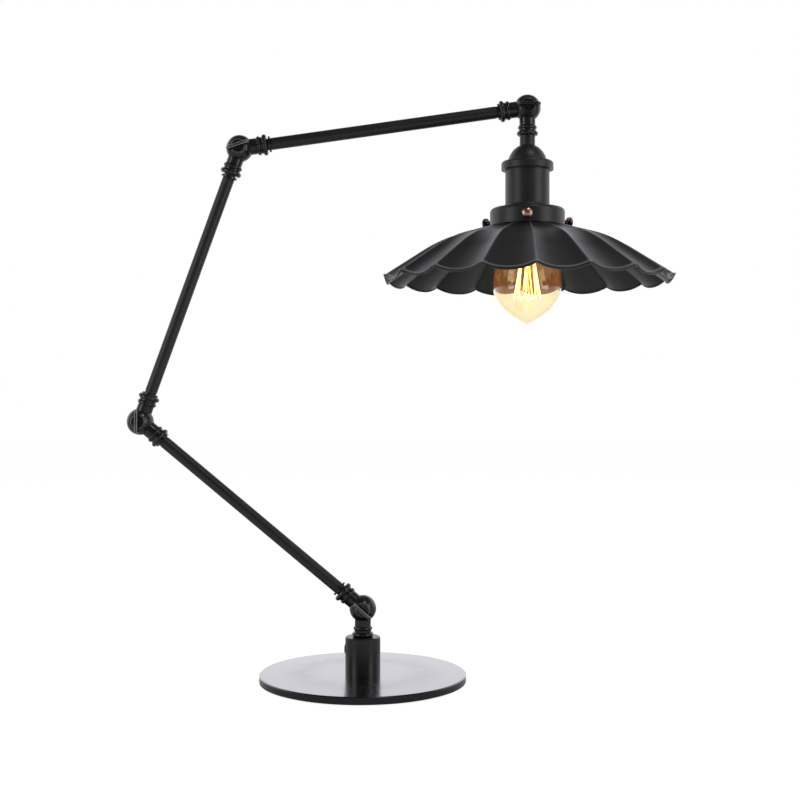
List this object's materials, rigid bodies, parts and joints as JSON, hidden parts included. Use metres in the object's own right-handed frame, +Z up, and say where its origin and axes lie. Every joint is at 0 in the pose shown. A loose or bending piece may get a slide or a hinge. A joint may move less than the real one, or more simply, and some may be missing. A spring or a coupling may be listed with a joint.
{
  "type": "adjustable table lamp",
  "caption": "Table lamp with a round weighted base, swing arms on half-ball pivots clamped by wing screws, and a fluted metal shade over a screw-in filament bulb",
  "frame": {"origin": "centre of the underside of the base pad, on the table", "axes": "+Z up; the arms lie in the XZ plane with the shade on the +X side; the wing screws face -Y"},
  "size_m": [0.4763, 0.2544, 0.5124],
  "materials": {
    "satin_black_paint": "satin",
    "gloss_black_enamel": "gloss",
    "black_rubber_pad": "matte",
    "zinc_steel": "satin",
    "black_plastic": "matte",
    "fibre_washer": "matte",
    "antique_copper": "satin",
    "white_ceramic": "gloss",
    "contact_brass": "satin",
    "bulb_cap_brass": "satin",
    "black_glass_bead": "gloss",
    "amber_glass": "gloss",
    "clear_glass": "gloss",
    "support_wire": "satin",
    "glowing_filament": "matte"
  },
  "bodies": {
    "base": {"base_pad": "black_rubber_pad", "base_plate": "gloss_black_enamel", "base_post": "satin_black_paint", "base_nipple": "zinc_steel", "base_nut": "zinc_steel", "cord_inlet_bush": "black_plastic", "base_knuckle": "satin_black_paint", "friction_washer_base": "fibre_washer"},
    "arm_1": {"arm_1_lower_knuckle": "satin_black_paint", "arm_1_upper_knuckle": "satin_black_paint", "arm_1_tube": "satin_black_paint", "arm_1_lock_rings": "satin_black_paint", "friction_washer_low": "fibre_washer"},
    "arm_2": {"arm_2_lower_knuckle": "satin_black_paint", "arm_2_upper_knuckle": "satin_black_paint", "arm_2_tube": "satin_black_paint", "arm_2_lock_rings": "satin_black_paint", "friction_washer_high": "fibre_washer"},
    "arm_3": {"arm_3_lower_knuckle": "satin_black_paint", "arm_3_upper_knuckle": "satin_black_paint", "arm_3_tube": "satin_black_paint", "arm_3_lock_rings": "satin_black_paint", "friction_washer_head": "fibre_washer"},
    "head": {"head_knuckle": "satin_black_paint", "socket_nipple": "zinc_steel", "socket_nut": "zinc_steel", "socket_cap": "satin_black_paint", "socket_shell": "satin_black_paint", "socket_insulator": "white_ceramic", "socket_screw_shell": "contact_brass", "socket_contact": "contact_brass", "gallery_ring": "satin_black_paint", "gallery_nut": "zinc_steel", "shade": "satin_black_paint"},
    "bulb": {"bulb_glass": "amber_glass", "bulb_cap": "bulb_cap_brass", "bulb_cap_insulator": "black_glass_bead", "bulb_contact": "contact_brass", "bulb_stem": "clear_glass", "bulb_supports": "support_wire", "bulb_filament": "glowing_filament"},
    "wing_base": {"wing_screw_base": "satin_black_paint"},
    "wing_low": {"wing_screw_low": "satin_black_paint"},
    "wing_high": {"wing_screw_high": "satin_black_paint"},
    "wing_head": {"wing_screw_head": "satin_black_paint"},
    "thumb_1": {"shade_screw_1": "antique_copper"},
    "thumb_2": {"shade_screw_2": "antique_copper"},
    "thumb_3": {"shade_screw_3": "antique_copper"}
  },
  "joints": [
    {"name": "base_tilt", "type": "hinge", "parent": "base", "child": "arm_1", "pos_m": [0, 0, 0.0634], "axis": [0, -1, 0], "range_deg": [-50, 45]},
    {"name": "elbow_low", "type": "hinge", "parent": "arm_1", "child": "arm_2", "pos_m": [-0.19457, 0, 0.22667], "axis": [0, 1, 0], "range_deg": [-140, 32]},
    {"name": "elbow_high", "type": "hinge", "parent": "arm_2", "child": "arm_3", "pos_m": [-0.1077, 0, 0.46535], "axis": [0, -1, 0], "range_deg": [-42, 160]},
    {"name": "head_tilt", "type": "hinge", "parent": "arm_3", "child": "head", "pos_m": [0.14383, 0, 0.5007], "axis": [0, 1, 0], "range_deg": [-180, 5]},
    {"name": "wing_base_turn", "type": "hinge", "parent": "base", "child": "wing_base", "pos_m": [0, 0, 0.0634], "axis": [0, -1, 0], "range_deg": [0, 180]},
    {"name": "wing_low_turn", "type": "hinge", "parent": "arm_1", "child": "wing_low", "pos_m": [-0.19457, 0, 0.22667], "axis": [0, -1, 0], "range_deg": [0, 180]},
    {"name": "wing_high_turn", "type": "hinge", "parent": "arm_2", "child": "wing_high", "pos_m": [-0.1077, 0, 0.46535], "axis": [0, -1, 0], "range_deg": [0, 180]},
    {"name": "wing_head_turn", "type": "hinge", "parent": "arm_3", "child": "wing_head", "pos_m": [0.14383, 0, 0.5007], "axis": [0, -1, 0], "range_deg": [0, 180]},
    {"name": "thumb_1_turn", "type": "hinge", "parent": "head", "child": "thumb_1", "pos_m": [0.14383, 0, 0.403], "axis": [-0.1045, -0.9945, 0], "range_deg": [0, 180]},
    {"name": "thumb_2_turn", "type": "hinge", "parent": "head", "child": "thumb_2", "pos_m": [0.14383, 0, 0.403], "axis": [0.9135, 0.4067, 0], "range_deg": [0, 180]},
    {"name": "thumb_3_turn", "type": "hinge", "parent": "head", "child": "thumb_3", "pos_m": [0.14383, 0, 0.403], "axis": [-0.809, 0.5878, 0], "range_deg": [0, 180]},
    {"name": "bulb_turn", "type": "hinge", "parent": "head", "child": "bulb", "pos_m": [0.14383, 0, 0.3907], "axis": [0, 0, -1], "range_deg": [0, 180]}
  ]
}
